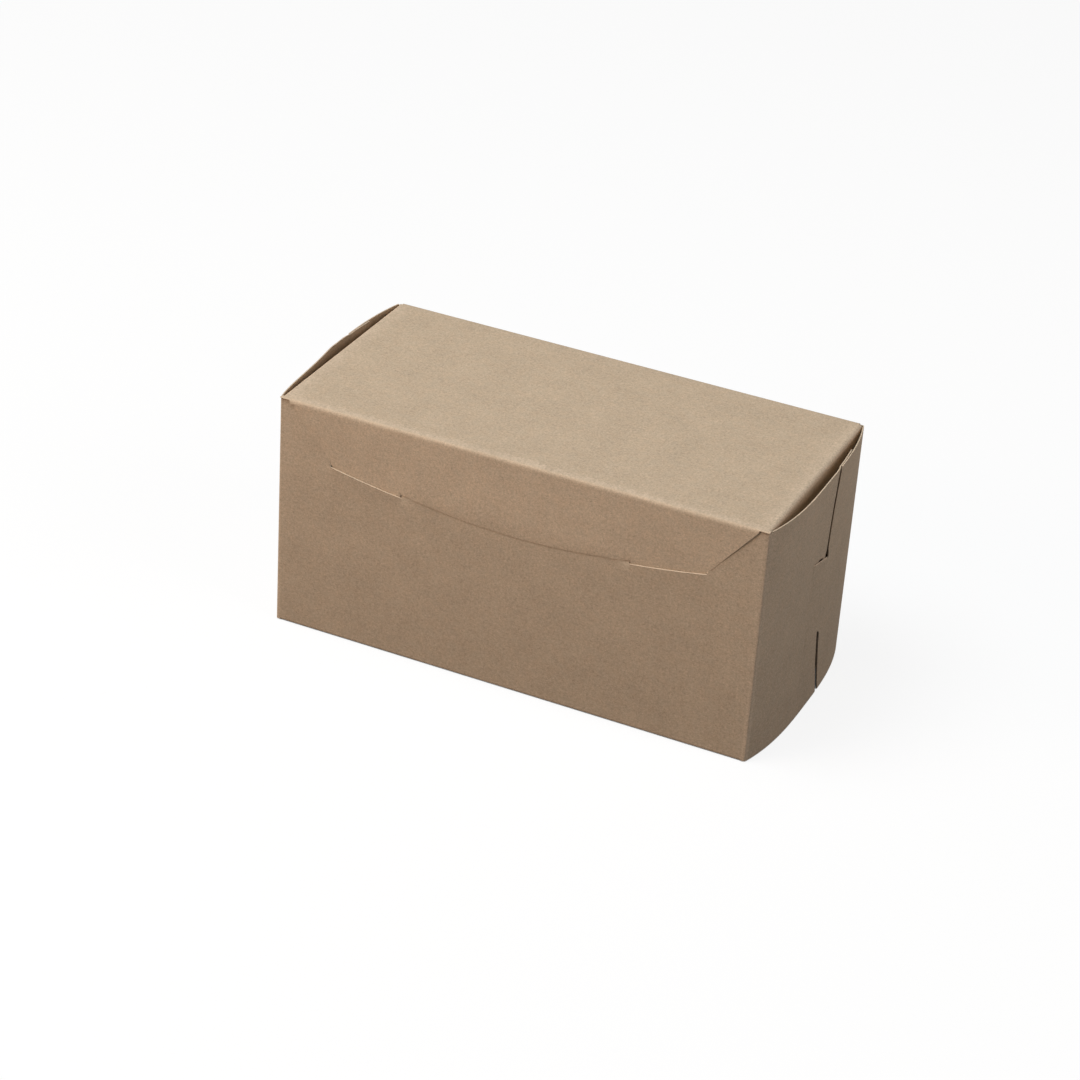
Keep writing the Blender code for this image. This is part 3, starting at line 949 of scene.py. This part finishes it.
def add_lid():
    dress_sheet(
        "lid_panel", "lid", [rectangle(-LID_HALF, LID_HALF, LID_FRONT, LID_REAR)], lid_place,
        lambda a, b: (a, LID_V + (REAR_Y - b)), FLAP_STEP, LID_GRID, worn=lid_worn,
    )
    corner_root = float(side_place(tab_root(CORNER_PLACE)))
    half = [(float(side_place(PANEL_TOP)), PANEL_TOP)]
    half += points_along(tab_root, corner_root, TAB_INNER_PLACE, CURVE_STEPS)
    edge = points_along(flap_edge, TAB_INNER_PLACE, -TAB_INNER_PLACE, ARCH_STEPS)
    outline = half + edge + [(-x, z) for x, z in reversed(half)]
    # The flap's tone is painted light
    dress_sheet(
        "lid_front_flap", "front_flap", [outline], flap_place,
        lambda a, b: (a, FLAP_V + (HEIGHT - b)), LID_FLAP_STEP, WALL_GRID, tone=FLAP_PAINTED_LIGHT,
    )
    for side, word in SIDES:
        add_lock_tab(side, word, corner_root)
        add_dust_flap(side, word)


def add_lock_tab(side, word, corner_root):
    """The tab dives through its slit in an S and lies behind the front wall."""
    outer = CORNER_PLACE - CLEARANCE
    inner = TAB_INNER_PLACE
    root = points_along(lambda x: 0, corner_root, inner, CURVE_STEPS)
    outline = root + [
        (inner + CLEARANCE, -TAB_BEND_HEIGHT),
        (inner + TAB_END_INSET, -TAB_REACH),
        (outer - TAB_END_INSET, -TAB_REACH),
        (outer, -TAB_BEND_HEIGHT),
    ]
    outline = [(side * x, b) for x, b in outline]

    def to_world(a, b, c):
        return flap_place(a, tab_root(np.abs(a)) + b, c)

    dress_sheet(
        "lid_lock_tab_" + word, "front_flap", [outline], to_world,
        lambda a, b: (a, FLAP_V + HEIGHT - tab_root(np.abs(a)) - b), LID_FLAP_STEP, TAB_GRID,
        tone=FLAP_PAINTED_LIGHT,
    )


def add_dust_flap(side, word):
    # The side fold's tone is a painted highlight
    square_fold(
        "lid_side_crease_" + word, "lid", "dust_flap_" + word, (side * SIDE_PLANE, 0, HEIGHT),
        (0, 0, 1), (side, 0, 0), (LID_FRONT, LID_REAR),
        lambda s, t: (side * (SIDE_PLANE - REACH * (1 - 2 * t)), LID_V + (REAR_Y - s)),
        FOLD_STEP, LID_SIDE_HANDLES, (1.0, SIDE_FOLD_PAINTED_HIGHLIGHT), LID_SIDE_WEAR,
    )
    top, bottom = PANEL_TOP, HEIGHT - DUST_DEPTH
    front, rear = FRONT_Y + SIDE_FLAP_END_GAP, REAR_Y - SIDE_FLAP_END_GAP
    corner = DUST_CORNER
    low_front = front + DUST_FRONT_TAPER + corner
    low_rear = rear - DUST_REAR_TAPER - corner
    outline = [
        (front, top),
        (front + DUST_FRONT_TAPER * DUST_TAPER_SHARE, bottom + corner),
        *arc(low_front, bottom + corner, corner, *DUST_FRONT_DEGREES, ROUND_STEPS),
        *arc(low_rear, bottom + corner, corner, *DUST_REAR_DEGREES, ROUND_STEPS),
        (rear, top),
    ]

    def to_world(a, b, c):
        fall = np.clip((top - b) / DUST_DEPTH, 0, 1)
        return stack(side * (SIDE_PLANE - c + DUST_LEAN * fall**2), a, b)

    # Painted shade: the dust flap is drawn darker below its fold
    def tone(a, b):
        return 1 - DUST_FLAP_PAINTED_SHADE * share(top - b, *DUST_FLAP_SHADE_REACH)

    dress_sheet(
        "lid_dust_flap_" + word, "dust_flap_" + word, [outline], to_world,
        lambda a, b: (side * (SIDE_PLANE + HEIGHT - b), LID_V + (REAR_Y - a)), FLAP_STEP,
        DUST_GRID, tone=tone,
    )


def add_base_flap(side, word):
    square_fold(
        "base_side_crease_" + word, "box", "base_flap_" + word, (side * SIDE_PLANE, 0, 0),
        (0, 0, -1), (side, 0, 0), (FRONT_Y + REACH, REAR_Y - REACH),
        lambda s, t: (side * (SIDE_PLANE - REACH * (1 - 2 * t)), s), FOLD_STEP, BASE_SIDE_HANDLES,
    )
    front, rear = FRONT_Y + SIDE_FLAP_END_GAP, REAR_Y - SIDE_FLAP_END_GAP
    top, corner = BASE_FLAP_HEIGHT, BASE_FLAP_CORNER
    outline = [
        (front, REACH),
        (rear, REACH),
        *arc(rear - corner, top - corner, corner, 0, 90, ROUND_STEPS),
        *arc(front + corner, top - corner, corner, 90, 180, ROUND_STEPS),
    ]

    def to_world(a, b, c):
        return stack(side * (SIDE_PLANE - c + BASE_FLAP_LEAN * np.clip(b / top, 0, 1) ** 2), a, b)

    dress_sheet(
        "base_side_flap_" + word, "base_flap_" + word, [outline], to_world,
        lambda a, b: (side * (SIDE_PLANE + b), a), FLAP_STEP, WALL_GRID,
    )


# Ends

SEAM = 0.00003
ARM_GAP = 0.0007
ARM_GAP_RUN = (0.0515, 0.0545)
ARM_CORNER_DROP = 0.0022
ARM_CORNER_RUN = (0.0575, 0.0590)
RIM_CORNER = 0.0012
RIM_CORNER_STEPS = 4
TAB_LEAD = 0.001
TAB_STEP_DOWN = 0.0006
LEFT_PRESS = 0.0019
LEFT_PRESS_END = 0.048
LEFT_PRESS_ALL = 0.0004
TONGUE_BEVEL = 0.0004
NEAR_EDGE = 0.0003
SHADE_BELOW_RIM = 0.0008
SLOPE_NUDGE = 0.00001


def arm_foot(depth):
    """Height of the lower edge of the front flap's upper arm, above the rear flap's tongue."""
    gap = ARM_GAP * share(depth, *ARM_GAP_RUN) - ARM_CORNER_DROP * share(depth, *ARM_CORNER_RUN)
    return tongue_top(depth) + SEAM + gap


def front_side_loop():
    bottom = TONGUE_BOTTOM - SEAM
    return [
        (REACH, FOOT), (ARM_END, FOOT), (ARM_END, bottom), (NOTCH, bottom),
        *points_along(arm_foot, NOTCH, ARM_END, ARM_STEPS),
        (ARM_END, RIM_TOP), (REACH, RIM_TOP),
    ]


def front_tongue_loop():
    start = float(arm_foot(ARM_END))
    corner, small = TONGUE_CORNER, RIM_CORNER
    return [
        (ARM_END, start),
        *arc(FRONT_TONGUE_END - corner, start + corner, corner, 270, 360, ROUND_STEPS),
        *arc(FRONT_TONGUE_END - small, RIM_TOP - small, small, 0, 90, RIM_CORNER_STEPS),
        (ARM_END, RIM_TOP),
    ]


def rear_side_loop():
    rear = WIDTH - REACH
    fillet = SLIT_FILLET
    return [
        (rear, FOOT), (rear, RIM_TOP), (REAR_EDGE, RIM_TOP),
        *points_along(tongue_top, REAR_EDGE, REAR_TONGUE_END, TONGUE_STEPS),
        (REAR_TONGUE_END, TONGUE_BOTTOM),
        *arc(REAR_EDGE - fillet, TONGUE_BOTTOM - fillet, fillet, 90, 0, ROUND_STEPS),
        (REAR_EDGE, FOOT),
    ]


def rear_tab_loop():
    corner = TAB_CORNER
    top = points_along(tongue_top, REAR_TONGUE_END, NOTCH - TAB_LEAD, TONGUE_STEPS)
    high = top[-1][1] - TAB_STEP_DOWN
    return [
        *top,
        *arc(REAR_TAB_END + corner, high - corner, corner, 90, 180, ROUND_STEPS),
        *arc(REAR_TAB_END + corner, TONGUE_BOTTOM + corner, corner, 180, 270, ROUND_STEPS),
        (REAR_TONGUE_END, TONGUE_BOTTOM),
    ]


def end_blank(side, front):
    if front:
        return lambda a, b: (side * (HALF + a), FRONT_Y - b)
    return lambda a, b: (side * (HALF + WIDTH - a), REAR_Y + b)


def flattened(side, depth, height):
    """The left end's rim is pressed a little flatter, most near the front."""
    if side > 0:
        return 0.0
    rise = np.maximum(0, height - WAIST_HEIGHT) / (HEIGHT - WAIST_HEIGHT)
    press = LEFT_PRESS * hump(depth, REACH, LEFT_PRESS_END) + LEFT_PRESS_ALL * hump(depth, 0, WIDTH)
    return press * rise**2


def tongue_edge(a, b):
    """True on the top edge of the rear flap's tongue, as far as it can be seen."""
    return (np.abs(b - tongue_top(a)) < NEAR_EDGE) & (a < REAR_EDGE - NEAR_EDGE)


def rear_edge_painted_light(a, b):
    """Painted light on the rear flap's cut face: its front edge is drawn dark as the lock's shade,
    its tongue's top drawn pale as a highlight.
    """
    shaded = (np.abs(a - REAR_EDGE) < NEAR_EDGE) * (b > WAIST_HEIGHT)
    shaded = shaded * (b < RIM_TOP - SHADE_BELOW_RIM)
    return np.where(tongue_edge(a, b), TONGUE_PAINTED_HIGHLIGHT, 1 - LOCK_PAINTED_SHADE * shaded)


def end_worn(a, b):
    """The ends are a little paler beside the box's corners."""
    away = np.minimum(a, WIDTH - a) - REACH
    return END_WEAR * (1 - share(away, 0, END_WEAR_WIDTH))


def add_end(side, word):
    for node, body, loop, layer, front in (
        ("front_side_flap_", "front_end_flap_", front_side_loop(), front_layer, True),
        ("front_flap_tongue_", "front_end_flap_", front_tongue_loop(), front_layer, True),
        ("rear_side_flap_", "rear_end_flap_", rear_side_loop(), rear_tongue_layer, False),
        ("rear_flap_tab_", "rear_end_flap_", rear_tab_loop(), rear_tongue_layer, False),
    ):
        def to_world(a, b, c, layer=layer, front=front):
            out = HALF + layer(a, b) - flattened(side, a, b) - c
            bevel = 0.0 if front else TONGUE_BEVEL * tongue_edge(a, b) * (1 - c / BOARD)
            return stack(side * out, FRONT_Y + a, b - bevel)

        dress_sheet(
            node + word, body + word, [loop], to_world, end_blank(side, front), END_STEP, END_GRID,
            tone=lambda a, b: painted_foot_shade(b), worn=end_worn, edge=1.0 if front else rear_edge_painted_light,
        )
    for kind, body, base_y, inward, layer in (
        ("front", "front_end_flap_", FRONT_Y, 1, front_layer),
        ("rear", "rear_end_flap_", REAR_Y, -1, rear_layer),
    ):
        add_corner_fold(side, word, kind, base_y, inward, layer)


def add_corner_fold(side, word, kind, base_y, inward, layer):
    """The upright fold at a corner: it leans into the end, which bulges from the corner on."""
    depth = REACH if inward > 0 else WIDTH - REACH

    def frame_at(z):
        out = float(layer(depth, z))
        slope = (float(layer(depth + inward * SLOPE_NUDGE, z)) - out) / SLOPE_NUDGE
        size = math.hypot(slope, 1)
        p0 = (side * WALL_HALF, base_y, z)
        p1 = (side * (HALF + out), base_y + inward * REACH, z)
        t1 = (side * slope / size, inward / size, 0)
        return p0, p1, (side, 0, 0), t1, (0, -inward, 0), (side, 0, 0)

    def blank_at(z, t):
        v = FRONT_Y - z if inward > 0 else REAR_Y + z
        return side * (HALF - REACH * (1 - 2 * t)), v

    name = kind + "_corner_crease_" + word
    piece = crease_piece(
        "kraft_" + name, frame_at, FOOT, CORNER_TOP, CORNER_STEP, blank_at,
        CORNER_HANDLES, (1.0, CORNER_TONE), CORNER_WEAR,
    )
    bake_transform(piece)
    dress(name)


add_base_and_walls()
add_long_folds()
add_lid()
for end_side, end_word in SIDES:
    add_base_flap(end_side, end_word)
    add_end(end_side, end_word)


# Camera, at the photograph's angle

FOCAL_PIXELS = 3014.2
IMAGE_PIXELS = 1080
SENSOR_WIDTH = 36.0
CLIP_START = 0.05
CLIP_END = 20.0
CAMERA_PLACE = (0.40212, -0.95292, 0.63303)
RIGHT = Vector((0.90202, 0.42754, 0.059659))
DOWN = Vector((0.259796, -0.427281, -0.865969))
FORWARD = Vector((-0.344761, 0.796629, -0.496499))


def add_camera():
    data = bpy.data.cameras.new("photo_camera")
    data.sensor_fit = "HORIZONTAL"
    data.sensor_width = SENSOR_WIDTH
    data.lens = FOCAL_PIXELS / IMAGE_PIXELS * SENSOR_WIDTH
    data.clip_start = CLIP_START
    data.clip_end = CLIP_END
    camera = bpy.data.objects.new("photo_camera", data)
    bpy.context.scene.collection.objects.link(camera)
    turn = Matrix((RIGHT, -DOWN, -FORWARD)).transposed()
    camera.matrix_world = Matrix.Translation(CAMERA_PLACE) @ turn.to_4x4()
    bpy.context.scene.camera = camera


add_camera()


# Floor, world and lamps

WHITE = (1, 1, 1, 1)
FLOOR_SIZE = 6.0
FLOOR_GAP = 0.00005
FLOOR_BOUNCE = (0.18, 0.18, 0.18, 1)
FLOOR_SHADOW = 0.12
# Painted shade on the floor: ambient occlusion darkens its white glow in crevices beside the box
CREVICE_REACH = 0.060
CREVICE_SAMPLES = 8
CREVICE_RANGE = (0.16, 0.42)
CREVICE_WHITE = (0.03, 1.0)
WORLD_STRENGTH = 0.02
LAMP_AIM = (0, 0, 0.05)
LAMPS = (
    ("key_lamp", (-0.55, -0.45, 1.75), 1.1, 29.0, (0.93, 0.98, 1.0)),
    ("front_lamp", (-1.3, -1.2, 0.62), 0.8, 16.5, (1.0, 0.74, 0.59)),
    ("right_lamp", (1.6, -0.15, 1.05), 1.0, 10.3, (1.0, 0.94, 0.94)),
)


def seen_or_lit(tree, lit, seen, output):
    """Joins two shaders: seen for camera, glossy and transmitted rays, lit for all the others."""
    paths = tree.nodes.new("ShaderNodeLightPath")
    direct = maths(tree, "MAXIMUM", paths.outputs["Is Camera Ray"], paths.outputs["Is Glossy Ray"])
    direct = maths(tree, "MAXIMUM", direct, paths.outputs["Is Transmission Ray"])
    join = tree.nodes.new("ShaderNodeMixShader")
    link(tree, direct, join.inputs["Fac"])
    link(tree, lit, join.inputs[1])
    link(tree, seen, join.inputs[2])
    link(tree, join.outputs["Shader"], output.inputs["Surface"])


def add_floor():
    """A white floor that keeps a soft shadow; its white glow is painted darker by ambient occlusion
    where the box closes it in.
    """
    mesh = bpy.data.meshes.new("studio_floor")
    ends = ((-1, -1), (1, -1), (1, 1), (-1, 1))
    corners = [(FLOOR_SIZE * x, FLOOR_SIZE * y, -FLOOR_GAP) for x, y in ends]
    mesh.from_pydata(corners, [], [(0, 1, 2, 3)])
    floor = bpy.data.objects.new("studio_floor", mesh)
    bpy.context.scene.collection.objects.link(floor)
    material = bpy.data.materials.new("studio_floor_white")
    material.use_nodes = True
    tree = material.node_tree
    shader = tree.nodes["Principled BSDF"]
    shader.inputs["Base Color"].default_value = FLOOR_BOUNCE
    shader.inputs["Roughness"].default_value = 1.0
    shader.inputs["Specular IOR Level"].default_value = 0.0
    closeness = tree.nodes.new("ShaderNodeAmbientOcclusion")
    closeness.inputs["Distance"].default_value = CREVICE_REACH
    closeness.samples = CREVICE_SAMPLES
    white = tree.nodes.new("ShaderNodeEmission")
    white.inputs["Color"].default_value = WHITE
    lit = remap(tree, closeness.outputs["AO"], CREVICE_RANGE, CREVICE_WHITE)
    link(tree, lit, white.inputs["Strength"])
    pale = tree.nodes.new("ShaderNodeBsdfDiffuse")
    pale.inputs["Color"].default_value = WHITE
    catcher = tree.nodes.new("ShaderNodeMixShader")
    catcher.inputs["Fac"].default_value = FLOOR_SHADOW
    link(tree, white.outputs["Emission"], catcher.inputs[1])
    link(tree, pale.outputs["BSDF"], catcher.inputs[2])
    output = tree.nodes["Material Output"]
    seen_or_lit(tree, shader.outputs["BSDF"], catcher.outputs["Shader"], output)
    mesh.materials.append(material)


def add_world():
    """White where it is seen, and faint as a light."""
    world = bpy.data.worlds.new("studio_world")
    bpy.context.scene.world = world
    world.use_nodes = True
    tree = world.node_tree
    tree.nodes.clear()
    backgrounds = []
    for strength in (WORLD_STRENGTH, 1.0):
        background = tree.nodes.new("ShaderNodeBackground")
        background.inputs["Color"].default_value = WHITE
        background.inputs["Strength"].default_value = strength
        backgrounds.append(background.outputs["Background"])
    seen_or_lit(tree, *backgrounds, tree.nodes.new("ShaderNodeOutputWorld"))


def add_lamp(name, place, size, power, colour):
    data = bpy.data.lights.new(name, "AREA")
    data.shape = "SQUARE"
    data.size = size
    data.energy = power
    data.color = colour
    lamp = bpy.data.objects.new(name, data)
    bpy.context.scene.collection.objects.link(lamp)
    lamp.location = place
    lamp.rotation_mode = "QUATERNION"
    lamp.rotation_quaternion = (Vector(LAMP_AIM) - Vector(place)).to_track_quat("-Z", "Y")


add_floor()
add_world()
for lamp in LAMPS:
    add_lamp(*lamp)

bpy.context.scene.view_settings.view_transform = "Standard"
